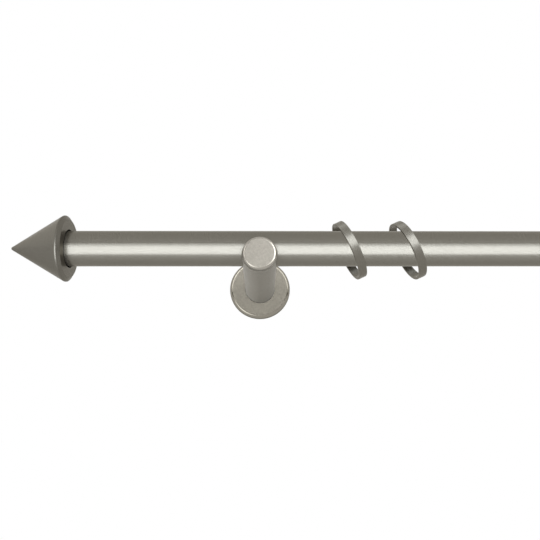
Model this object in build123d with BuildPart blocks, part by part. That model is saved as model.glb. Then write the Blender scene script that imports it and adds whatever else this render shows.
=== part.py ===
"""Curtain rod: a round tube on two wall brackets, with cone finials and eight plain rings.

Millimetres. +Z is up, +Y points into the wall and +X runs along the rod to the right.
The origin is the centre of the left bracket's wall face, so the wall is the plane Y = 0
and the left bracket's stem lies along the Y axis, towards -Y.
"""

import os
from math import atan2, cos, degrees, hypot, radians, sin

from build123d import *

os.makedirs("parts", exist_ok=True)

# Clearances
seat_gap = 0.3  # between a moving piece and what it rests on, slides over or sits in
thread_gap = 0.05  # radial, between a screw and its hole
edge_break = 0.3  # small chamfer on machined edges

# Rod
rod_diameter = 20.0
rod_wall = 1.0
rod_length = 800.0
rod_reach = 73.0  # from the wall to the rod's axis
rod_rise = 7.0  # from the stem's axis up to the rod's axis

# Bracket stem, a solid bar along Y with an open saddle for the rod
stem_diameter = 19.6
stem_nose = 12.5  # from the rod's axis forward to the stem's front shoulder
plug_end_diameter = 15.6  # turned-down front end that carries the cap
plug_end_length = 2.0

# Cover, the rosette that hides the wall disc
cover_diameter = 40.6
cover_rim = 3.0  # thickness of its side wall
cover_depth = 3.5
cover_front = 1.0  # thickness of its front wall
cover_edge_radius = 2.4

# Wall disc under the cover, its boss and its two wall screw holes
boss_diameter = 10.0
boss_length = 14.0
boss_fit = 0.1  # radial, between the boss and the stem's rear bore
boss_flat = 0.6  # depth of the flat under the stem screw
wall_screw_hole = 4.2
wall_screw_head = 7.6
wall_screw_head_angle = 90.0
wall_screw_margin = 0.7  # from a screw's head to the disc's edge

# Front cap
cap_diameter = 18.8
cap_depth = 3.0
cap_face = 1.0  # thickness of its front wall
cap_edge_radius = 1.7
cap_groove_width = 0.5
cap_groove_depth = 0.3

# Socket set screws: one locks the stem on the boss, one clamps the rod
grub_diameter = 4.0
grub_socket = 2.0  # across the flats of the hexagon
grub_socket_depth = 1.8
grub_sink = 0.5  # how far the stem screw's top lies below the stem's surface
stem_screw_from_wall = 9.0
clamp_screw_length = 4.0
clamp_screw_drop = 2.0  # from the rod's axis down to the clamp screw's axis

# Cone finial with a socket over the rod's end
finial_diameter = 37.2
finial_band = 2.2  # from the back face to the cone
finial_bevel_length = 1.6  # along the axis, between the back face and the rim
finial_bevel_depth = 2.3  # from the rim towards the axis
finial_cone_length = 31.2  # to the cone's sharp tip
finial_tip_radius = 1.0
finial_rim_radius = 1.0  # between the cone and the rim
finial_bevel_radius = 0.4  # between the rim and the bevel
finial_from_bracket = 106.9  # from the bracket's middle to the finial's back face
socket_depth = 10.0
socket_gap = 0.8  # radial, round the rod
plug_length = 20.0
plug_core_diameter = 15.0
plug_ribs = 5
plug_rib_width = 1.2
finial_screw_diameter = 5.0
finial_screw_head = 8.5
finial_screw_head_depth = 3.0
finial_screw_reach = 9.0  # depth of thread in the cone
finial_screw_socket = 3.0

# Rings
ring_inner_diameter = 31.0
ring_thickness = 1.5
ring_width = 4.7
ring_edge = 0.35
ring_count = 8
leaning_ring_places = (50.1, 82.8)  # first two rings, from the left bracket's middle
ring_lean = 24.3  # degrees, top towards the left
ring_turn = -2.4  # degrees about the vertical, the leaning rings' near side towards the left
leaning_ring_contact = 32.0  # degrees from the rod's top towards the wall, where it touches
third_ring_place = 175.0
last_ring_from_bracket = 66.0  # from the right bracket's middle

# Derived sizes
rod_radius = rod_diameter / 2
rod_bore = rod_radius - rod_wall
stem_radius = stem_diameter / 2
cover_bore = cover_diameter - 2 * cover_rim
disc_diameter = cover_bore - 2 * seat_gap
disc_thickness = cover_depth - cover_front - seat_gap
wall_screw_spacing = disc_diameter - wall_screw_head - 2 * wall_screw_margin
saddle_radius = rod_radius + seat_gap
shoulder_from_wall = rod_reach + stem_nose
cap_back_from_wall = shoulder_from_wall + seat_gap
overhang = finial_from_bracket + socket_depth - seat_gap
bracket_spacing = rod_length - 2 * overhang
ring_inner = ring_inner_diameter / 2
ring_outer = ring_inner + ring_thickness
brackets = {"left": 0.0, "right": bracket_spacing}
outwards = {"left": -1, "right": 1}


def from_wall(distance, x, z=0.0):
    """Plane parallel to the wall, facing the room, with its own x along +X and y along +Z."""
    return Plane(origin=(x, -distance, z), x_dir=(1, 0, 0), z_dir=(0, -1, 0))


def upwards(x, distance, z):
    """Level plane facing up, centred over a point at a distance from the wall."""
    return Plane(origin=(x, -distance, z), x_dir=(1, 0, 0), z_dir=(0, 0, 1))


def along_rod(x, direction):
    """Plane across the rod's axis, facing outwards along the rod."""
    return Plane(origin=(x, -rod_reach, rod_rise), x_dir=(0, -1, 0), z_dir=(direction, 0, 0))


def write(piece, name):
    """Labels a finished piece and writes it under its node's name."""
    piece.part.label = name
    export_step(piece.part, f"parts/{name}.step")


def make_wall_disc(x):
    """Steel disc screwed to the wall, with a boss that the stem slips over."""
    with BuildPart() as disc:
        with BuildSketch(from_wall(0, x)):
            Circle(disc_diameter / 2)
        extrude(amount=disc_thickness)
        chamfer(disc.faces().sort_by(Axis.Y)[0].edges(), edge_break)
        with BuildSketch(from_wall(disc_thickness, x)):
            Circle(boss_diameter / 2)
        extrude(amount=boss_length)
        chamfer(disc.faces().sort_by(Axis.Y)[0].edges(), edge_break)
        with Locations(from_wall(disc_thickness, x)):
            with GridLocations(0, wall_screw_spacing, 1, 2):
                CounterSinkHole(
                    wall_screw_hole / 2, wall_screw_head / 2, disc_thickness, wall_screw_head_angle
                )
        flat_from_wall = stem_screw_from_wall - grub_diameter
        with BuildSketch(from_wall(flat_from_wall, x, boss_diameter / 2)):
            Rectangle(boss_diameter, 2 * boss_flat)
        extrude(amount=2 * grub_diameter, mode=Mode.SUBTRACT)
    return disc


def make_stem(x):
    """Round bar from the wall disc to the front cap, with the rod's saddle cut from above."""
    stem_length = shoulder_from_wall - disc_thickness
    with BuildPart() as stem:
        with BuildSketch(from_wall(disc_thickness, x)):
            Circle(stem_radius)
        extrude(amount=stem_length)
        chamfer(stem.edges().filter_by(GeomType.CIRCLE), edge_break)
        with BuildSketch(from_wall(shoulder_from_wall, x)):
            Circle(plug_end_diameter / 2)
        extrude(amount=plug_end_length)
        chamfer(stem.faces().sort_by(Axis.Y)[0].edges(), edge_break)
        with BuildSketch(from_wall(disc_thickness, x)):
            Circle(boss_diameter / 2 + boss_fit)
        extrude(amount=boss_length + seat_gap, mode=Mode.SUBTRACT)
        with BuildSketch(upwards(x, stem_screw_from_wall, 0)):
            Circle(grub_diameter / 2 + thread_gap)
        extrude(amount=stem_radius, mode=Mode.SUBTRACT)
        with BuildSketch(Plane.YZ.offset(x)):
            with Locations((-rod_reach, rod_rise)):
                Circle(saddle_radius)
            with Locations((-rod_reach, rod_rise + stem_radius / 2)):
                Rectangle(2 * saddle_radius, stem_radius)
        extrude(amount=stem_radius, both=True, mode=Mode.SUBTRACT)
        with BuildSketch(from_wall(rod_reach, x, rod_rise - clamp_screw_drop)):
            Circle(grub_diameter / 2 + thread_gap)
        extrude(amount=stem_nose + plug_end_length, mode=Mode.SUBTRACT)
    return stem


def make_grub_screw(plane, length):
    """Headless screw with a hexagon socket, its point on the plane and its socket at the far end."""
    with BuildPart() as screw:
        with BuildSketch(plane):
            Circle(grub_diameter / 2)
        extrude(amount=length)
        chamfer(screw.edges().filter_by(GeomType.CIRCLE), edge_break)
        with BuildSketch(plane.offset(length)):
            RegularPolygon(grub_socket / 2, 6, major_radius=False)
        extrude(amount=-grub_socket_depth, mode=Mode.SUBTRACT)
    return screw


def make_stem_screw(x):
    """Set screw in the top of the stem, on the flat of the boss."""
    foot = boss_diameter / 2 - boss_flat
    length = stem_radius - grub_sink - foot
    return make_grub_screw(upwards(x, stem_screw_from_wall, foot), length)


def make_clamp_screw(x):
    """Set screw behind the cap that presses the rod against the back of the saddle."""
    point = from_wall(rod_reach + rod_radius + seat_gap, x, rod_rise - clamp_screw_drop)
    return make_grub_screw(point, clamp_screw_length)


def make_cover(x):
    """Rosette over the wall disc, with a hole that slides along the stem."""
    with BuildPart() as cover:
        with BuildSketch(from_wall(0, x)):
            Circle(cover_diameter / 2)
        extrude(amount=cover_depth)
        fillet(cover.faces().sort_by(Axis.Y)[0].edges(), cover_edge_radius)
        with BuildSketch(from_wall(0, x)):
            Circle(cover_bore / 2)
        extrude(amount=cover_depth - cover_front, mode=Mode.SUBTRACT)
        with BuildSketch(from_wall(0, x)):
            Circle(stem_radius + seat_gap)
        extrude(amount=cover_depth, mode=Mode.SUBTRACT)
    return cover


def make_cap(x):
    """Cup pushed over the stem's turned-down end, with a fine groove round its side."""
    with BuildPart() as cap:
        with BuildSketch(from_wall(cap_back_from_wall, x)):
            Circle(cap_diameter / 2)
        extrude(amount=cap_depth)
        fillet(cap.faces().sort_by(Axis.Y)[0].edges(), cap_edge_radius)
        with BuildSketch(from_wall(cap_back_from_wall, x)):
            Circle(plug_end_diameter / 2 + seat_gap)
        extrude(amount=cap_depth - cap_face, mode=Mode.SUBTRACT)
        groove_from_back = (cap_depth - cap_edge_radius - cap_groove_width) / 2
        with BuildSketch(from_wall(cap_back_from_wall + groove_from_back, x)):
            Circle(cap_diameter / 2)
            Circle(cap_diameter / 2 - cap_groove_depth, mode=Mode.SUBTRACT)
        extrude(amount=cap_groove_width, mode=Mode.SUBTRACT)
    return cap


def make_rod_tube():
    """Round tube that hangs in the two saddles."""
    with BuildPart() as rod:
        with BuildSketch(along_rod(-overhang, 1)):
            Circle(rod_radius)
            Circle(rod_bore, mode=Mode.SUBTRACT)
        extrude(amount=rod_length)
    return rod


def make_finial(side):
    """Cone turned from solid, with a socket for the rod's end and a threaded hole."""
    direction = outwards[side]
    back = brackets[side] + direction * finial_from_bracket
    radius = finial_diameter / 2
    back_radius = radius - finial_bevel_depth
    bevel_end = (finial_bevel_length, radius)
    half_angle = atan2(radius, finial_cone_length)
    tip_centre = finial_band + finial_cone_length - finial_tip_radius / sin(half_angle)
    tip_start = (
        tip_centre + finial_tip_radius * sin(half_angle),
        finial_tip_radius * cos(half_angle),
    )
    profile_plane = Plane(
        origin=(back, -rod_reach, rod_rise), x_dir=(direction, 0, 0), z_dir=(0, -direction, 0)
    )
    with BuildPart() as finial:
        with BuildSketch(profile_plane):
            with BuildLine():
                Polyline((0, 0), (0, back_radius), bevel_end, (finial_band, radius), tip_start)
                CenterArc((tip_centre, 0), finial_tip_radius, 0, 90 - degrees(half_angle))
                Line((tip_centre + finial_tip_radius, 0), (0, 0))
            make_face()
        revolve(axis=Axis(profile_plane.origin, profile_plane.x_dir))
        rim = finial.edges().filter_by(GeomType.CIRCLE).sort_by(SortBy.RADIUS)[-2:]
        bevel_edge, cone_edge = rim.sort_by(lambda edge: abs(edge.center().X - back))
        fillet(cone_edge, finial_rim_radius)
        fillet(bevel_edge, finial_bevel_radius)
        with BuildSketch(along_rod(back, direction)):
            Circle(rod_radius + socket_gap)
        extrude(amount=socket_depth, mode=Mode.SUBTRACT)
        with BuildSketch(along_rod(back + direction * socket_depth, direction)):
            Circle(finial_screw_diameter / 2 + thread_gap)
        extrude(amount=finial_screw_reach + seat_gap, mode=Mode.SUBTRACT)
    return finial


def make_finial_plug(side):
    """Ribbed plastic plug that holds the finial in the rod's end."""
    direction = -outwards[side]
    seat = brackets[side] + outwards[side] * (finial_from_bracket + socket_depth)
    rib_pitch = (plug_length - plug_rib_width) / plug_ribs
    head_room = finial_screw_head / 2 + seat_gap
    with BuildPart() as plug:
        with BuildSketch(along_rod(seat, direction)):
            Circle(plug_core_diameter / 2)
        extrude(amount=plug_length)
        for rib in range(plug_ribs):
            with BuildSketch(along_rod(seat + direction * (rib + 1) * rib_pitch, direction)):
                Circle(rod_bore - seat_gap)
            extrude(amount=plug_rib_width)
        with BuildSketch(along_rod(seat, direction)):
            Circle(finial_screw_diameter / 2 + thread_gap)
        extrude(amount=plug_length, mode=Mode.SUBTRACT)
        with BuildSketch(along_rod(seat + direction * plug_length, -direction)):
            Circle(head_room)
        extrude(amount=finial_screw_head_depth, mode=Mode.SUBTRACT)
    return plug


def make_finial_screw(side):
    """Cap screw through the plug into the cone."""
    direction = outwards[side]
    seat = brackets[side] + direction * (finial_from_bracket + socket_depth)
    head_base = seat - direction * (plug_length - finial_screw_head_depth)
    head_top = head_base - direction * finial_screw_head_depth
    shank_length = plug_length - finial_screw_head_depth + finial_screw_reach
    with BuildPart() as screw:
        with BuildSketch(along_rod(head_base, direction)):
            Circle(finial_screw_diameter / 2)
        extrude(amount=shank_length)
        with BuildSketch(along_rod(head_top, direction)):
            Circle(finial_screw_head / 2)
        extrude(amount=finial_screw_head_depth)
        with BuildSketch(along_rod(head_top, direction)):
            RegularPolygon(finial_screw_socket / 2, 6, major_radius=False)
        extrude(amount=finial_screw_head_depth / 2, mode=Mode.SUBTRACT)
    return screw


def ring_offset(lean, turn, contact):
    """Centre of a ring from the rod's axis, as (y, z), so that its inner edge clears the rod by
    the seat gap at the contact angle. Seen along the rod, a leaning ring is an ellipse, and the
    lean and the turn set one edge of the band nearer to the rod than its middle."""
    height = ring_inner * cos(lean)
    reach = hypot(ring_inner * sin(contact), height * cos(contact))
    touch = rod_radius + seat_gap
    y = touch * sin(contact) - ring_inner**2 * sin(contact) / reach
    z = touch * cos(contact) - height**2 * cos(contact) / reach
    return y + ring_width / 2 * cos(lean) * sin(turn), z + ring_width / 2 * sin(lean)


def make_ring(x, lean, turn, contact):
    """Plain flat band round the rod, leaning to the left and turned about the vertical."""
    y, z = ring_offset(lean, turn, contact)
    middle = Plane(
        origin=(x, y - rod_reach, z + rod_rise),
        x_dir=(-sin(turn), cos(turn), 0),
        z_dir=(cos(lean) * cos(turn), cos(lean) * sin(turn), sin(lean)),
    )
    with BuildPart() as ring:
        with BuildSketch(middle):
            Circle(ring_outer)
            Circle(ring_inner, mode=Mode.SUBTRACT)
        extrude(amount=ring_width / 2, both=True)
        fillet(ring.edges().filter_by(GeomType.CIRCLE), ring_edge)
    return ring


def ring_places():
    """Each ring's (x, lean, turn, contact angle): the leaning ones, then those that hang plumb."""
    angles = [radians(angle) for angle in (ring_lean, ring_turn, leaning_ring_contact)]
    places = [(x, *angles) for x in leaning_ring_places]
    plumb = ring_count - len(places)
    pitch = (bracket_spacing - last_ring_from_bracket - third_ring_place) / (plumb - 1)
    return places + [(third_ring_place + i * pitch, 0.0, 0.0, 0.0) for i in range(plumb)]


for side, bracket_x in brackets.items():
    write(make_wall_disc(bracket_x), f"wall_disc_{side}")
    write(make_stem(bracket_x), f"stem_{side}")
    write(make_stem_screw(bracket_x), f"stem_screw_{side}")
    write(make_clamp_screw(bracket_x), f"clamp_screw_{side}")
    write(make_cover(bracket_x), f"cover_{side}")
    write(make_cap(bracket_x), f"cap_{side}")
    write(make_finial(side), f"finial_{side}")
    write(make_finial_plug(side), f"finial_plug_{side}")
    write(make_finial_screw(side), f"finial_screw_{side}")

write(make_rod_tube(), "rod_tube")

for number, place in enumerate(ring_places(), start=1):
    write(make_ring(*place), f"ring_{number}")
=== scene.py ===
# %% [markdown]
# # A satin nickel curtain rod
#
# The rod hangs in two wall brackets. Cones close its ends and eight flat rings carry the
# curtain. Nearly every piece was turned on a lathe or drawn as a tube, and then blasted or
# brushed and plated, so its shape is simple and its finish does the work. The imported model
# gives the shapes and their places. This file adds the finish, the light and the camera.

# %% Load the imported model
from math import cos, hypot, pi, radians, sin

import bpy
import numpy as np
from mathutils import Matrix, Vector


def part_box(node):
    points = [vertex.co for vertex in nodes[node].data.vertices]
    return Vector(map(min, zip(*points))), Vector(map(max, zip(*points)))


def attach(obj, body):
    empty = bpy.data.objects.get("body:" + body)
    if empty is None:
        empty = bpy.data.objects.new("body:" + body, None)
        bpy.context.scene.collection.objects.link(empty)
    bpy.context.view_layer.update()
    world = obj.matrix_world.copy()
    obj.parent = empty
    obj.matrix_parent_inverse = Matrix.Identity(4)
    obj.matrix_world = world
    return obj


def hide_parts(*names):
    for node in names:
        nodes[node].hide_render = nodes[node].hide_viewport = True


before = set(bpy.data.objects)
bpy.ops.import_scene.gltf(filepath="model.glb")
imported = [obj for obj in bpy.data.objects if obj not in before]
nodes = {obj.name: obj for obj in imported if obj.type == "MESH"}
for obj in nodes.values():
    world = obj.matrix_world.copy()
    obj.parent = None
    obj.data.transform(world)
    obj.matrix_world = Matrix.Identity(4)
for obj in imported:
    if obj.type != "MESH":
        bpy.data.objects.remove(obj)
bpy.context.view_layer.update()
print("pieces from the packed model:", len(nodes))

# %% [markdown]
# ## Where the rod and the brackets are
#
# Every turned piece is round about an axis: the rod's axis along X, or a bracket's axis
# along Y. The finishes below need these axes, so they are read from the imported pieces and
# not typed in again.

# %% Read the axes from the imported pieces
mm = 0.001
sides = ("left", "right")


def middle(node):
    """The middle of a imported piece's box."""
    low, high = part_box(node)
    return (low + high) / 2


rod_axis = middle("rod_tube")
bracket_axis = {side: middle(f"cover_{side}") for side in sides}
print("rod axis, y and z in mm:", round(rod_axis.y / mm, 2), round(rod_axis.z / mm, 2))
print("bracket axes, x in mm:", [round(bracket_axis[side].x / mm, 1) for side in sides])

# %% [markdown]
# ## The camera
#
# The camera stands in front of the left bracket, a little below it, and looks up. A plain
# way to aim it is a direction and a roll: the three axes of the camera are worked out from
# them and become the columns of its matrix.

# %% Place the camera
camera_place = Vector((0.911, -390.175, -89.661)) * mm
camera_up_angle = radians(14.870)
camera_turn = radians(0.878)
camera_roll = radians(-0.237)
camera_lens = 39.095

forward = Vector((
    sin(camera_turn) * cos(camera_up_angle),
    cos(camera_turn) * cos(camera_up_angle),
    sin(camera_up_angle),
))
level_right = forward.cross(Vector((0, 0, 1))).normalized()
level_up = level_right.cross(forward)
camera_right = cos(camera_roll) * level_right + sin(camera_roll) * level_up
camera_up = cos(camera_roll) * level_up - sin(camera_roll) * level_right

camera_data = bpy.data.cameras.new("camera")
camera_data.lens = camera_lens
camera_data.clip_start = 10 * mm
camera = bpy.data.objects.new("camera", camera_data)
turn = Matrix((camera_right, camera_up, -forward)).transposed().to_4x4()
camera.matrix_world = Matrix.Translation(camera_place) @ turn
bpy.context.scene.collection.objects.link(camera)
bpy.context.scene.camera = camera
bpy.context.scene.view_settings.view_transform = "Standard"
print("camera looks up by", round(camera_up_angle / radians(1), 1), "degrees")

# %% [markdown]
# ## Helpers for node trees
#
# Materials, the world and the pieces that follow a rule are all trees of nodes. One helper
# adds a node and sets its inputs: a plain value is set, and the output of another node is
# linked. The same helper serves every kind of tree.


# %% Add and link nodes
def fill(tree, node, values):
    """Sets or links a node's inputs, by name or by number."""
    for key, value in values.items():
        socket = node.inputs[key]
        if isinstance(value, bpy.types.NodeSocket):
            tree.links.new(value, socket)
        else:
            socket.default_value = value


def add(tree, kind, values=None, **settings):
    """Adds a node, with its settings and its inputs."""
    node = tree.nodes.new(kind)
    for key, value in settings.items():
        setattr(node, key, value)
    fill(tree, node, values or {})
    return node


def calculate(tree, operation, *values, clamp=False):
    """Adds a Math node and gives its output."""
    inputs = dict(enumerate(values))
    return add(tree, "ShaderNodeMath", inputs, operation=operation, use_clamp=clamp).outputs[0]


def spread(tree, value, low, high, bottom=0.0, top=1.0):
    """Takes a value's stretch from low to high onto bottom to top, smoothly."""
    inputs = {"Value": value, "From Min": low, "From Max": high, "To Min": bottom, "To Max": top}
    return add(tree, "ShaderNodeMapRange", inputs, interpolation_type="SMOOTHSTEP").outputs[0]


print("helpers: fill, add, calculate, spread")

# %% [markdown]
# ## The studio
#
# Metal has hardly a colour of its own: it shows what stands round it. The rod has one broad
# light band along its front with steep edges, so one long soft box stands in front of it
# and below. The rings catch their light higher up, so theirs hangs higher, with a weak one
# overhead for their insides. The cap is lit from the right of the front and the cover from
# above. A narrow box on each side and a small one at the lower left draw thin bright lines
# on their polished rims. A weak one behind the bracket gives the stem its soft left side,
# and another at the far left makes the upper half of the cone a little lighter than the
# lower. The background is white for the camera and for reflections, and the pale floor
# below still takes the object's shadow.
#
# The white world already lights the metal, so a lamp's radiance is counted against it: 1 is
# as bright as the white round it, and a box that shows as a clear highlight has 3 to 5.


# %% Tell the seen rays from the lighting rays
def seen_rays(tree):
    """1 for the rays that show the background, straight or in metal or glass, otherwise 0."""
    path = add(tree, "ShaderNodeLightPath").outputs
    seen = calculate(tree, "ADD", path["Is Camera Ray"], path["Is Glossy Ray"])
    return calculate(tree, "ADD", seen, path["Is Transmission Ray"], clamp=True)


# %% Make the world white where it is seen
room_light = 0.55
white = (1, 1, 1, 1)

world = bpy.data.worlds.new("studio")
bpy.context.scene.world = world
world.use_nodes = True
tree = world.node_tree
tree.nodes.clear()
lit = add(tree, "ShaderNodeBackground", {"Color": white, "Strength": room_light})
plain = add(tree, "ShaderNodeBackground", {"Color": white, "Strength": 1.0})
either = add(
    tree, "ShaderNodeMixShader", {0: seen_rays(tree), 1: lit.outputs[0], 2: plain.outputs[0]},
)
add(tree, "ShaderNodeOutputWorld", {"Surface": either.outputs[0]})
print("world strength on the object:", room_light)


# %% Hang the soft boxes
def soft_box(name, centre, aim, width, height, radiance, color):
    """A lamp with a lit face of the given size, aimed at a point."""
    lamp = bpy.data.lights.new(name, "AREA")
    lamp.shape = "RECTANGLE"
    lamp.size, lamp.size_y = width, height
    lamp.energy = radiance * pi * width * height
    lamp.color = color
    holder = bpy.data.objects.new(name, lamp)
    direction = Vector(aim) - Vector(centre)
    holder.rotation_mode = "QUATERNION"
    holder.rotation_quaternion = direction.to_track_quat("-Z", "Y")
    holder.location = centre
    holder.visible_camera = False
    bpy.context.scene.collection.objects.link(holder)
    print(name, "radiance", radiance)
    return holder


cool = (0.93, 1.0, 1.12)
neutral = (0.98, 1.0, 1.03)
rod_point = Vector((0.1, -0.073, 0.007))
bracket_point = Vector((0.0, -0.08, 0.0))
cone_point = Vector((-0.12, -0.073, 0.007))


def round_about(point, sideways, upwards, distance):
    """The place at a distance from a point, by the angles to the right of the front and up."""
    right, up = radians(sideways), radians(upwards)
    return point + distance * Vector((sin(right) * cos(up), -cos(right) * cos(up), sin(up)))


def hang(name, point, sideways, upwards, distance, width, height, radiance, color):
    """A soft box at a distance from a point of the object, facing it."""
    centre = round_about(point, sideways, upwards, distance)
    return soft_box(name, centre, point, width, height, radiance, color)


# Each row: name, point it faces, degrees to the right of the front, degrees up,
# distance, width and height in metres, radiance and colour.
lamp_rows = (
    ("rod_soft_box", rod_point, 0, -25, 0.8, 1.9, 0.84, 5.2, cool),
    ("ring_soft_box", rod_point, 0, 20, 0.8, 1.9, 0.5, 4.4, cool),
    ("top_soft_box", rod_point, 180, 86, 0.8, 1.9, 0.3, 1.1, cool),
    ("cap_soft_box", bracket_point, 30, 17, 0.7, 0.6, 0.6, 3.9, neutral),
    ("cover_soft_box", bracket_point, -4, 36, 0.7, 0.8, 0.36, 4.5, neutral),
    ("low_soft_box", bracket_point, -28, -19, 0.7, 0.36, 0.36, 2.6, neutral),
    ("right_strip", bracket_point, 48, 24, 0.6, 0.12, 0.5, 3.6, neutral),
    ("left_strip", bracket_point, -50, 20, 0.6, 0.12, 0.4, 2.6, neutral),
    ("cone_soft_box", cone_point, -106, 26, 0.8, 0.9, 0.6, 0.5, neutral),
    ("back_soft_box", bracket_point, -165, 4, 1.2, 0.5, 0.8, 0.3, neutral),
)
lamps = {name: hang(name, *rest) for name, *rest in lamp_rows}

# %% [markdown]
# ### The glow of a cover on its stem
#
# In bright metal, the foot of a stem shows the cover behind it nearly as bright as the
# cover itself. Here the metal is a dark grey in a white room, so that glow would come out
# too dark. A weak lamp as large as the cover, in its front face, puts it back.

# %% Let the covers glow on their stems
bounce_radiance = 0.4
bounce_lamps = []
for side in sides:
    lower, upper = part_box(f"cover_{side}")
    width = upper.x - lower.x
    centre = Vector((bracket_axis[side].x, lower.y, bracket_axis[side].z))
    ahead = centre - Vector((0, 1, 0))
    bounce = soft_box(f"bounce_{side}", centre, ahead, width, width, bounce_radiance, neutral)
    bounce.data.shape = "DISK"
    bounce_lamps.append(bounce)

# %% [markdown]
# ### The floor
#
# Half of what is seen of the floor is paint, which the object can shade, and half is a glow.
# The soft boxes light only their own pieces, so the paint gets the room's light alone, and
# the glow makes up what is missing to the white of the background.

# %% Lay the floor
floor_level = -0.85
floor_reach = 30.0
floor_paleness = 0.85
floor_white = (floor_paleness, floor_paleness, floor_paleness, 1)
glow_share = 0.5
floor_glow = (1 - (1 - glow_share) * floor_paleness * room_light) / glow_share

floor_mesh = bpy.data.meshes.new("floor")
ends = (-floor_reach, floor_reach)
corners = [(x, y, floor_level) for x in ends for y in ends]
floor_mesh.from_pydata(corners, [], [(0, 2, 3, 1)])
floor = bpy.data.objects.new("floor", floor_mesh)
bpy.context.scene.collection.objects.link(floor)
floor_paint = bpy.data.materials.new("pale_floor")
floor_paint.use_nodes = True
tree = floor_paint.node_tree
tree.nodes.clear()
share = calculate(tree, "MULTIPLY", seen_rays(tree), glow_share)
paint = add(tree, "ShaderNodeBsdfDiffuse", {"Color": floor_white})
glow = add(tree, "ShaderNodeEmission", {"Color": white, "Strength": floor_glow})
both = add(tree, "ShaderNodeMixShader", {0: share, 1: paint.outputs[0], 2: glow.outputs[0]})
add(tree, "ShaderNodeOutputMaterial", {"Surface": both.outputs[0]})
floor_mesh.materials.append(floor_paint)
print("floor at z in m:", floor_level, "with a glow of", round(floor_glow, 2))

# %% [markdown]
# ## Effects that several finishes share
#
# Each effect is a shader node group: a small tree with named inputs and outputs, made once
# and placed in every material that needs it. All of them read a place in millimetres, so
# that a grain of 0.2 is 0.2 mm on every piece. Three effects are enough for turned and
# plated metal: the grain that blasting leaves, the marks that the tool or the belt leaves,
# and the polish that handling leaves on an edge.


# %% Make an empty group
def shader_group(name, inputs, outputs):
    """A shader node group with named number sockets. Vector is always its first input."""
    group = bpy.data.node_groups.new(name, "ShaderNodeTree")
    group.interface.new_socket("Vector", in_out="INPUT", socket_type="NodeSocketVector")
    for label, value in inputs.items():
        socket = group.interface.new_socket(label, in_out="INPUT", socket_type="NodeSocketFloat")
        socket.default_value = value
    for label in outputs:
        group.interface.new_socket(label, in_out="OUTPUT", socket_type="NodeSocketFloat")
    given = group.nodes.new("NodeGroupInput").outputs
    taken = group.nodes.new("NodeGroupOutput")
    return group, given, taken


# %% [markdown]
# ### Pearl grain
#
# Satin nickel is blasted with fine beads before it is plated. Seen close, polished grains
# stand between dull pits, each a fifth of a millimetre across or less. From a step away they
# can't be told apart, but they are why its highlight has a bright core and a wide soft
# skirt: a single roughness can't give both. The group puts out the pits as a mask, a mottle
# of about a millimetre, which shows on the coarser blasted caps and covers, and a slow cloud
# for the faint unevenness of the plating.

# %% Build the grain group
pit_softness = 0.05
mottle_scale = 0.9
cloud_scale = 0.09

grain_inputs = {"Grain": 0.2, "Pit Level": 0.5}
grain, given, taken = shader_group("pearl_grain", grain_inputs, ("Pits", "Mottle", "Cloud"))


def grain_noise(scale, detail):
    """A noise on the group's place, with a scale per millimetre."""
    inputs = {"Vector": given["Vector"], "Scale": scale, "Detail": detail}
    return add(grain, "ShaderNodeTexNoise", inputs).outputs[0]


fineness = calculate(grain, "DIVIDE", 1.0, given["Grain"])
pit_top = calculate(grain, "ADD", given["Pit Level"], pit_softness)
pits = spread(grain, grain_noise(fineness, 1.0), given["Pit Level"], pit_top)
cloud = spread(grain, grain_noise(cloud_scale, 3.0), 0.3, 0.7)
mottle = spread(grain, grain_noise(mottle_scale, 2.0), 0.35, 0.65)
fill(grain, taken, {"Pits": pits, "Mottle": mottle, "Cloud": cloud})
print("group:", grain.name, [socket.name for socket in grain.interface.items_tree])

# %% [markdown]
# ### Tool marks
#
# A lathe tool leaves fine rings round the axis, and drawing leaves fine lines along it.
# Both are one noise stretched in another direction. The group turns the place into an
# angle, a height along the axis and a radius, and scales each by itself: the mark runs
# along the direction whose scale is small. The angle goes in as a point on a circle, so
# that the pattern closes without a seam, and the radius takes the noise's fourth input.

# %% Build the marks group
marks_inputs = {"Round": 1.0, "Along": 4.0, "Out": 4.0}
marks, given, taken = shader_group("tool_marks", marks_inputs, ("Marks",))
place = add(marks, "ShaderNodeSeparateXYZ", {0: given["Vector"]}).outputs
squares = [calculate(marks, "POWER", calculate(marks, "ABSOLUTE", place[i]), 2.0) for i in (0, 1)]
radius = calculate(marks, "SQRT", calculate(marks, "ADD", *squares))
safe_radius = calculate(marks, "MAXIMUM", radius, 0.01)
circle = [
    calculate(marks, "MULTIPLY", calculate(marks, "DIVIDE", place[i], safe_radius), given["Round"])
    for i in (0, 1)
]
height = calculate(marks, "MULTIPLY", place[2], given["Along"])
rolled = add(marks, "ShaderNodeCombineXYZ", {0: circle[0], 1: circle[1], 2: height})
out = calculate(marks, "MULTIPLY", radius, given["Out"])
lines = add(
    marks, "ShaderNodeTexNoise",
    {"Vector": rolled.outputs[0], "W": out, "Scale": 1.0, "Detail": 2.0}, noise_dimensions="4D",
)
fill(marks, taken, {"Marks": spread(marks, lines.outputs[0], 0.3, 0.7)})
print("group:", marks.name, [socket.name for socket in marks.interface.items_tree])

# %% [markdown]
# ### Polished edges
#
# Where two faces meet, plating is thicker and hands and cloths polish it. The Bevel node
# gives the normal that a small rounding would have. Where it differs from the true normal,
# there is an edge, so the difference is the mask.

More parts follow.
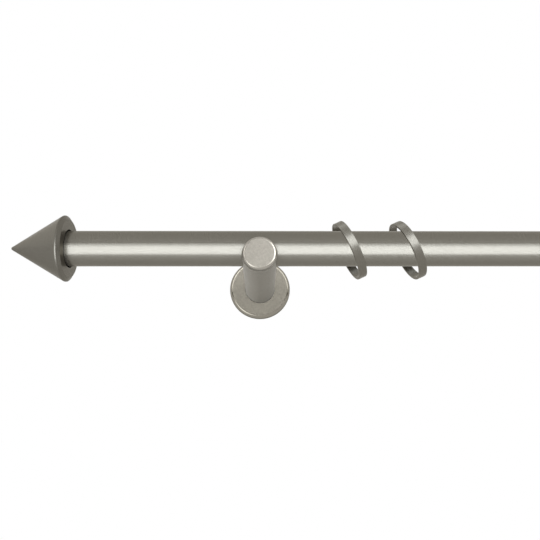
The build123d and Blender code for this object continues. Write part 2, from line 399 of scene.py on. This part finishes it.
# %% Build the edge group
edges, given, taken = shader_group("edge_polish", {"Width": 0.4}, ("Edge",))
edge_width = calculate(edges, "MULTIPLY", given["Width"], mm)
rounded = add(edges, "ShaderNodeBevel", {"Radius": edge_width}, samples=6)
straight = add(edges, "ShaderNodeNewGeometry").outputs["Normal"]
same = add(
    edges, "ShaderNodeVectorMath", {0: rounded.outputs[0], 1: straight}, operation="DOT_PRODUCT",
)
fill(edges, taken, {"Edge": spread(edges, same.outputs["Value"], 0.998, 0.93)})
print("group:", edges.name, [socket.name for socket in edges.interface.items_tree])

# %% [markdown]
# ### Bright rims
#
# The rounded rims of the cap and the cover are polished after blasting, so each draws a
# thin bright line. The faces look along the axis and the sides look away from it, so the
# angle between the normal and the axis tells where the rounding is. This group's Vector is
# the axis, and a piece without a polished rim gives no axis at all.

# %% Build the rim group
rims, given, taken = shader_group("bright_rim", {}, ("Rim",))
facing = add(rims, "ShaderNodeTexCoord").outputs["Normal"]
toward = add(
    rims, "ShaderNodeVectorMath", {0: facing, 1: given["Vector"]}, operation="DOT_PRODUCT",
)
level = calculate(rims, "ABSOLUTE", toward.outputs["Value"])
off_face = spread(rims, level, 0.995, 0.96)
off_side = spread(rims, level, 0.35, 0.65)
fill(rims, taken, {"Rim": calculate(rims, "MULTIPLY", off_face, off_side)})
print("group:", rims.name, [socket.name for socket in rims.interface.items_tree])

# %% [markdown]
# ## The finishes
#
# One function makes each plated finish from the three effects. The Mapping node brings a
# piece's own axis to the pattern's Z axis and its place to millimetres, so that the marks
# run round the piece and not round the world. The shader itself stays in the material, and
# what is the same all over, such as the tint of the grazing reflection, is set on its own
# socket.
#
# Contrast is how much darker the mottle gets. Polished and dull are the roughness of the
# grains and of the pits, and the two depths are in millimetres.

# %% Ways to bring a piece's place to the pattern
along_x = (0, radians(90), 0)
along_y = (radians(90), 0, 0)


def place_on(tree, centre, turned):
    """Object coordinates in mm, with the piece's axis as Z and its middle at the origin."""
    where = add(tree, "ShaderNodeTexCoord").outputs["Object"]
    inputs = {"Vector": where, "Location": centre, "Rotation": turned, "Scale": (mm, mm, mm)}
    return add(tree, "ShaderNodeMapping", inputs, vector_type="TEXTURE").outputs[0]


def own_place(tree):
    """The place on a ring before it leaned, in mm, kept by the ring as an attribute."""
    return add(tree, "ShaderNodeAttribute", attribute_name="turned").outputs["Vector"]


def use_group(tree, group, place, values, output):
    """Places a shader group in a material and gives one of its outputs."""
    node = add(tree, "ShaderNodeGroup", node_tree=group)
    fill(tree, node, {"Vector": place, **values})
    return node.outputs[output]


print("patterns are turned to the rod's axis or to a bracket's axis")


# %% Make a plated finish
edge_width_mm = 0.35
edge_shine = 0.6
worn_brightness = 1.25
rim_roughness = 0.2
grazing_tint = (0.8, 0.78, 0.74, 1)


def plated(
    name, color, *, contrast, grain_size, polished, dull, pit_level,
    line_scales, line_depth, grain_depth, place, axis,
):
    """Nickel on a blasted or brushed piece: grains between pits, tool marks, edges and rims."""
    material = bpy.data.materials.new(name)
    material.use_nodes = True
    tree = material.node_tree
    shader = tree.nodes["Principled BSDF"]
    vector = place(tree)
    speckle = {"Grain": grain_size, "Pit Level": pit_level}
    pits = use_group(tree, grain, vector, speckle, "Pits")
    mottle = use_group(tree, grain, vector, speckle, "Mottle")
    cloud = use_group(tree, grain, vector, speckle, "Cloud")
    lines = use_group(tree, marks, vector, line_scales, "Marks")
    edge = use_group(tree, edges, vector, {"Width": edge_width_mm}, "Edge")
    rim = use_group(tree, rims, axis, {}, "Rim")
    shine = calculate(tree, "MAXIMUM", calculate(tree, "MULTIPLY", edge, edge_shine), rim)

    dark = tuple((1 - contrast) * channel for channel in color)
    bright = tuple(worn_brightness * channel for channel in color)
    mixed = add(tree, "ShaderNodeMix", data_type="RGBA")
    tone = calculate(tree, "MULTIPLY_ADD", lines, 0.2, calculate(tree, "MULTIPLY", cloud, 0.2))
    tone = calculate(tree, "MULTIPLY_ADD", mottle, 0.6, tone)
    fill(tree, mixed, {"Factor": tone, "A": (*dark, 1), "B": (*color, 1)})
    worn = add(tree, "ShaderNodeMix", data_type="RGBA")
    fill(tree, worn, {"Factor": shine, "B": (*bright, 1)})
    tree.links.new(mixed.outputs["Result"], worn.inputs["A"])

    rough = calculate(tree, "MULTIPLY_ADD", pits, dull - polished, polished)
    rough = calculate(tree, "MULTIPLY_ADD", lines, 0.03, rough)
    rough = calculate(tree, "MULTIPLY_ADD", cloud, 0.02, rough)
    rough = calculate(tree, "MULTIPLY_ADD", edge, -0.08, rough)
    rough = spread(tree, rim, 0.0, 1.0, rough, rim_roughness)

    relief = calculate(tree, "MULTIPLY", lines, line_depth)
    relief = calculate(tree, "MULTIPLY_ADD", pits, -grain_depth, relief)
    bump = add(tree, "ShaderNodeBump", {"Height": relief, "Distance": mm, "Strength": 1.0})
    fill(tree, shader, {
        "Base Color": worn.outputs["Result"],
        "Metallic": 1.0,
        "Roughness": rough,
        "Specular Tint": grazing_tint,
        "Normal": bump.outputs[0],
    })
    return material


nickel = (0.173, 0.161, 0.134)
# The cone, stem, cover and cap take the rod's nickel made darker or lighter, so that each comes
# out as bright as it looks in its own light: the cone's colour is painted shade, and the stem's,
# cover's and cap's colours are painted light.
nickel_shaded_for_cone = (0.137, 0.127, 0.106)
nickel_lit_for_stem = (0.188, 0.175, 0.148)
nickel_lit_for_cover = (0.216, 0.201, 0.168)
nickel_lit_blasted = (0.286, 0.269, 0.235)
drawn = {"Round": 60.0, "Along": 0.02, "Out": 0.5}
turned = {"Round": 0.6, "Along": 5.0, "Out": 5.0}
no_rim = (0, 0, 0)


def on_rod(tree):
    """The place of a piece that is round about the rod's axis."""
    return place_on(tree, rod_axis, along_x)


rod_finish = plated(
    "satin_nickel_rod", nickel, contrast=0.05, grain_size=0.12, polished=0.2, dull=0.55,
    pit_level=0.495, line_scales=drawn, line_depth=0.0002, grain_depth=0.0004,
    place=on_rod, axis=(1, 0, 0),
)
cone_finish = plated(
    "satin_nickel_cone", nickel_shaded_for_cone, contrast=0.05, grain_size=0.2, polished=0.27, dull=0.52,
    pit_level=0.5, line_scales=turned, line_depth=0.0015, grain_depth=0.0006,
    place=on_rod, axis=no_rim,
)
ring_finish = plated(
    "satin_nickel_ring", nickel, contrast=0.08, grain_size=0.2, polished=0.25, dull=0.5,
    pit_level=0.5, line_scales=turned, line_depth=0.002, grain_depth=0.0006,
    place=own_place, axis=no_rim,
)
print("finishes on the rod:", rod_finish.name, cone_finish.name, ring_finish.name)


# %% Make the brackets' finishes
bracket_finish = {}
for side in sides:
    def on_bracket(tree, centre=bracket_axis[side]):
        """The place of a piece that is round about this bracket's axis."""
        return place_on(tree, centre, along_y)

    shared = {"grain_size": 0.2, "line_scales": turned, "place": on_bracket, "axis": (0, 1, 0)}
    # The stem, cover and cap colours are the rod's nickel made lighter: painted light.
    bracket_finish["stem", side] = plated(
        f"satin_nickel_stem_{side}", nickel_lit_for_stem, contrast=0.08, polished=0.3, dull=0.52,
        pit_level=0.48, line_depth=0.0015, grain_depth=0.0006, **shared,
    )
    bracket_finish["cover", side] = plated(
        f"satin_nickel_cover_{side}", nickel_lit_for_cover, contrast=0.17, polished=0.4, dull=0.58,
        pit_level=0.45, line_depth=0.0015, grain_depth=0.001, **shared,
    )
    bracket_finish["cap", side] = plated(
        f"blasted_nickel_cap_{side}", nickel_lit_blasted, contrast=0.17, polished=0.42, dull=0.6,
        pit_level=0.42, line_depth=0.0008, grain_depth=0.004, **shared,
    )
print("finishes on the brackets:", [finish.name for finish in bracket_finish.values()])

# %% [markdown]
# ### The finishes that hide
#
# Three pieces show only when the part is taken down: the zinc-plated wall disc under its
# cover, the blackened set screws, and the moulded plug in the rod's end. Zinc has a soft
# cloudy sheen with a pale yellow cast, blackened steel is dull with bright corners, and a
# moulded plug has a fine even texture.


# %% Make the hidden finishes
def plain_finish(name, color, other, worn_color, *, metallic, polished, dull, grain_depth):
    """Zinc, blackened steel or moulded plastic, from the same grain and edge effects."""
    material = bpy.data.materials.new(name)
    material.use_nodes = True
    tree = material.node_tree
    shader = tree.nodes["Principled BSDF"]
    vector = place_on(tree, (0, 0, 0), (0, 0, 0))
    speckle = {"Grain": 0.3, "Pit Level": 0.5}
    pits = use_group(tree, grain, vector, speckle, "Pits")
    cloud = use_group(tree, grain, vector, speckle, "Cloud")
    edge = use_group(tree, edges, vector, {"Width": 0.3}, "Edge")
    mixed = add(tree, "ShaderNodeMix", data_type="RGBA")
    fill(tree, mixed, {"Factor": cloud, "A": (*color, 1), "B": (*other, 1)})
    worn = add(tree, "ShaderNodeMix", data_type="RGBA")
    fill(tree, worn, {"Factor": calculate(tree, "MULTIPLY", edge, 0.5), "B": (*worn_color, 1)})
    tree.links.new(mixed.outputs["Result"], worn.inputs["A"])
    rough = calculate(tree, "MULTIPLY_ADD", pits, dull - polished, polished)
    relief = calculate(tree, "MULTIPLY", pits, -grain_depth)
    bump = add(tree, "ShaderNodeBump", {"Height": relief, "Distance": mm, "Strength": 1.0})
    fill(tree, shader, {
        "Base Color": worn.outputs["Result"],
        "Metallic": metallic,
        "Roughness": rough,
        "Normal": bump.outputs[0],
    })
    return material


zinc = plain_finish(
    "zinc_plate", (0.42, 0.42, 0.4), (0.5, 0.48, 0.4), (0.62, 0.62, 0.6),
    metallic=1.0, polished=0.3, dull=0.5, grain_depth=0.001,
)
black_steel = plain_finish(
    "blackened_steel", (0.05, 0.05, 0.052), (0.08, 0.078, 0.075), (0.3, 0.3, 0.3),
    metallic=1.0, polished=0.3, dull=0.5, grain_depth=0.001,
)
plug_plastic = plain_finish(
    "moulded_plug", (0.02, 0.02, 0.021), (0.03, 0.03, 0.03), (0.05, 0.05, 0.05),
    metallic=0.0, polished=0.45, dull=0.6, grain_depth=0.004,
)
print("hidden finishes:", zinc.name, black_steel.name, plug_plastic.name)


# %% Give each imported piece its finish
def finish_of(name):
    """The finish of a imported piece, by its name."""
    kind, _, side = name.rpartition("_")
    if "screw" in name:
        return black_steel
    if kind == "finial_plug":
        return plug_plastic
    if kind == "wall_disc":
        return zinc
    if kind == "finial":
        return cone_finish
    return bracket_finish.get((kind, side), rod_finish)


for name, node in nodes.items():
    if not name.startswith("ring_"):
        for slot in node.material_slots:
            slot.material = finish_of(name)
print("finished packed pieces:", sum(not name.startswith("ring_") for name in nodes))

# %% [markdown]
# ## The rings
#
# A ring is a flat band bent round: a rounded rectangle carried along a circle. That is a
# rule, so a Geometry Nodes tree makes it, and one tree serves all eight rings. It could
# also be turned with Spin, but the tree keeps the sizes as inputs that can be changed later.
# Before the ring leans over and moves to its place, the tree stores where each point is, in
# millimetres, so that the brush marks follow the band round.
#
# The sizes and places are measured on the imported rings. A ring that hangs plumb gives the
# sizes. The way a ring faces is the direction along which its points vary least, and its
# two flat sides then give it exactly.

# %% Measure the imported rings
ring_names = sorted(
    (name for name in nodes if name.startswith("ring_")), key=lambda name: int(name[5:]),
)
plumb_ring = ring_names[-1]
plumb_low, plumb_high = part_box(plumb_ring)
plumb_middle = middle(plumb_ring)
ring_margin = 0.002 * mm
ring_outer = (plumb_high.y - plumb_low.y) / 2 - ring_margin
ring_width = plumb_high.x - plumb_low.x
ring_inner = min(
    hypot(vertex.co.y - plumb_middle.y, vertex.co.z - plumb_middle.z)
    for vertex in nodes[plumb_ring].data.vertices
)
ring_edge = 0.35 * mm


def ring_axis(name):
    """The direction that a packed ring faces, to the right."""
    mesh = nodes[name].data
    places = np.array([tuple(vertex.co) for vertex in mesh.vertices])
    centred = places - places.mean(axis=0)
    rough = Vector(np.linalg.eigh(centred.T @ centred)[1][:, 0])
    rough = rough if rough.x > 0 else -rough
    flat = [face for face in mesh.polygons if face.normal.dot(rough) > cos(radians(2))]
    return sum((face.area * face.normal for face in flat), Vector()).normalized()


ring_axes = {name: ring_axis(name) for name in ring_names}
across = [round(2 * radius / mm, 2) for radius in (ring_inner, ring_outer)]
print("ring, inside and outside in mm:", across)
for name, axis in ring_axes.items():
    print(name, "leans by", round(90 - axis.angle(Vector((0, 0, 1))) / radians(1), 2), "degrees")


# %% Start a geometry tree
def geometry_tree(name, inputs):
    """An empty Geometry Nodes tree with named inputs, as (name, kind, value)."""
    tree = bpy.data.node_groups.new(name, "GeometryNodeTree")
    tree.is_modifier = True
    tree.interface.new_socket("Geometry", in_out="OUTPUT", socket_type="NodeSocketGeometry")
    for label, kind, value in inputs:
        socket = tree.interface.new_socket(label, in_out="INPUT", socket_type=f"NodeSocket{kind}")
        if value is not None:
            socket.default_value = value
    given = tree.nodes.new("NodeGroupInput").outputs
    return tree, given


def end_tree(tree, geometry, material):
    """Closes a tree: the instances made real, smooth faces and the material."""
    real = add(tree, "GeometryNodeRealizeInstances", {0: geometry})
    smooth = add(tree, "GeometryNodeSetShadeSmooth", {"Geometry": real.outputs[0]})
    inputs = {"Geometry": smooth.outputs[0], "Material": material}
    coated = add(tree, "GeometryNodeSetMaterial", inputs)
    tree.links.new(coated.outputs[0], tree.nodes.new("NodeGroupOutput").inputs["Geometry"])


# %% Build the ring's tree
ring_tree, given = geometry_tree("flat_ring", (
    ("Inner Radius", "Float", 0.0155),
    ("Outer Radius", "Float", 0.017),
    ("Width", "Float", 0.0047),
    ("Edge Radius", "Float", 0.00035),
    ("Axis", "Vector", (1, 0, 0)),
    ("Place", "Vector", (0, 0, 0)),
    ("Finish", "Material", None),
))
thickness = calculate(ring_tree, "SUBTRACT", given["Outer Radius"], given["Inner Radius"])
mean = calculate(ring_tree, "MULTIPLY_ADD", thickness, 0.5, given["Inner Radius"])
path = add(ring_tree, "GeometryNodeCurvePrimitiveCircle", {"Resolution": 180, "Radius": mean})
upright = add(ring_tree, "GeometryNodeSetCurveNormal", {"Curve": path.outputs[0]}, mode="Z_UP")
band = add(
    ring_tree, "GeometryNodeCurvePrimitiveQuadrilateral",
    {"Width": thickness, "Height": given["Width"]},
)
soft = add(
    ring_tree, "GeometryNodeFilletCurve",
    {"Curve": band.outputs[0], "Radius": given["Edge Radius"], "Count": 5}, mode="POLY",
)
swept = add(
    ring_tree, "GeometryNodeCurveToMesh",
    {"Curve": upright.outputs[0], "Profile Curve": soft.outputs[0]},
)
flat_place = add(ring_tree, "GeometryNodeInputPosition").outputs[0]
in_mm = add(ring_tree, "ShaderNodeVectorMath", {0: flat_place, "Scale": 1 / mm}, operation="SCALE")
kept = add(
    ring_tree, "GeometryNodeStoreNamedAttribute",
    {"Geometry": swept.outputs[0], "Name": "turned", "Value": in_mm.outputs[0]},
    data_type="FLOAT_VECTOR", domain="POINT",
)
leaning = add(ring_tree, "FunctionNodeAlignRotationToVector", {"Vector": given["Axis"]}, axis="Z")
stood = add(
    ring_tree, "GeometryNodeTransform",
    {"Geometry": kept.outputs[0], "Translation": given["Place"], "Rotation": leaning.outputs[0]},
)
end_tree(ring_tree, stood.outputs[0], given["Finish"])
print("tree:", ring_tree.name, "with", len(ring_tree.nodes), "nodes")


# %% Turn a tree into a plain mesh
def make_piece(name, tree, values):
    """Runs a tree with the given inputs and keeps the result as a plain mesh object."""
    source = bpy.data.objects.new(f"{name}_source", bpy.data.meshes.new(f"{name}_source"))
    bpy.context.scene.collection.objects.link(source)
    modifier = source.modifiers.new("shape", "NODES")
    modifier.node_group = tree
    for item in tree.interface.items_tree:
        if item.in_out == "INPUT" and item.name in values:
            modifier[item.identifier] = values[item.name]
    even = source.modifiers.new("even_normals", "WEIGHTED_NORMAL")
    even.weight = 100
    evaluated = source.evaluated_get(bpy.context.evaluated_depsgraph_get())
    mesh = bpy.data.meshes.new_from_object(evaluated)
    mesh.name = name
    bpy.data.objects.remove(source)
    piece = bpy.data.objects.new(name, mesh)
    bpy.context.scene.collection.objects.link(piece)
    return piece


# %% Make the rings
rings = []
for name in ring_names:
    ring = make_piece(f"{name}_band", ring_tree, {
        "Inner Radius": ring_inner, "Outer Radius": ring_outer, "Width": ring_width,
        "Edge Radius": ring_edge, "Axis": ring_axes[name], "Place": middle(name),
        "Finish": ring_finish,
    })
    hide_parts(name)
    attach(ring, name)
    rings.append(ring)
    ways = zip(*(vertex.co for vertex in ring.data.vertices))
    size = [round((max(way) - min(way)) / mm, 2) for way in ways]

# %% [markdown]
# ## Light each piece by itself
#
# On the rod the light band lies a little below the middle, and on the rings above it, so no
# single light can give both. The band also runs on to the very edge of each ring, with no
# shadow and no mirror image of the ring in it. Shiny hardware is often photographed piece
# by piece, each in its own light, and the pictures are joined. Light linking does the same
# in one scene: a lamp has a collection of the pieces that it lights, and it may have another
# of the pieces that can stand in its way. Without the second, every piece can. The rings
# are also switched off for glossy rays, so that the rod shows no image of them.


# %% Link the lamps to their pieces
def gather(name, pieces):
    """A collection of pieces for a lamp."""
    collection = bpy.data.collections.new(name)
    for piece in pieces:
        collection.objects.link(piece)
    return collection


def light_only(lamp, pieces, shading=None):
    """Lets a lamp light only these pieces, and only those given as shading stand in its way."""
    lamp.light_linking.receiver_collection = gather(f"{lamp.name}_lights", pieces)
    if shading:
        lamp.light_linking.blocker_collection = gather(f"{lamp.name}_shading", shading)
    print(lamp.name, "lights", len(pieces), "pieces")


caps = [nodes[f"cap_{side}"] for side in sides]
covers = [nodes[f"cover_{side}"] for side in sides]
faces = caps + covers
stems = [nodes[f"stem_{side}"] for side in sides]
cones = [nodes[f"finial_{side}"] for side in sides]
rods = [nodes["rod_tube"]] + cones
packed = [node for name, node in nodes.items() if not name.startswith("ring_")]
hidden = [node for node in packed if node not in faces + stems + rods]
light_only(lamps["rod_soft_box"], rods + stems, packed)
light_only(lamps["ring_soft_box"], rings)
light_only(lamps["top_soft_box"], rings, stems)
light_only(lamps["cap_soft_box"], caps + hidden)
light_only(lamps["cover_soft_box"], covers, covers)
light_only(lamps["low_soft_box"], faces, faces)
light_only(lamps["right_strip"], faces)
light_only(lamps["left_strip"], faces)
light_only(lamps["cone_soft_box"], cones)
light_only(lamps["back_soft_box"], stems, stems)
for lamp in bounce_lamps:
    light_only(lamp, stems, rings)

# %% Keep the rings out of the rod's reflections
for ring in rings:
    ring.visible_glossy = False
print("rings that show in no reflection:", sum(not ring.visible_glossy for ring in rings))
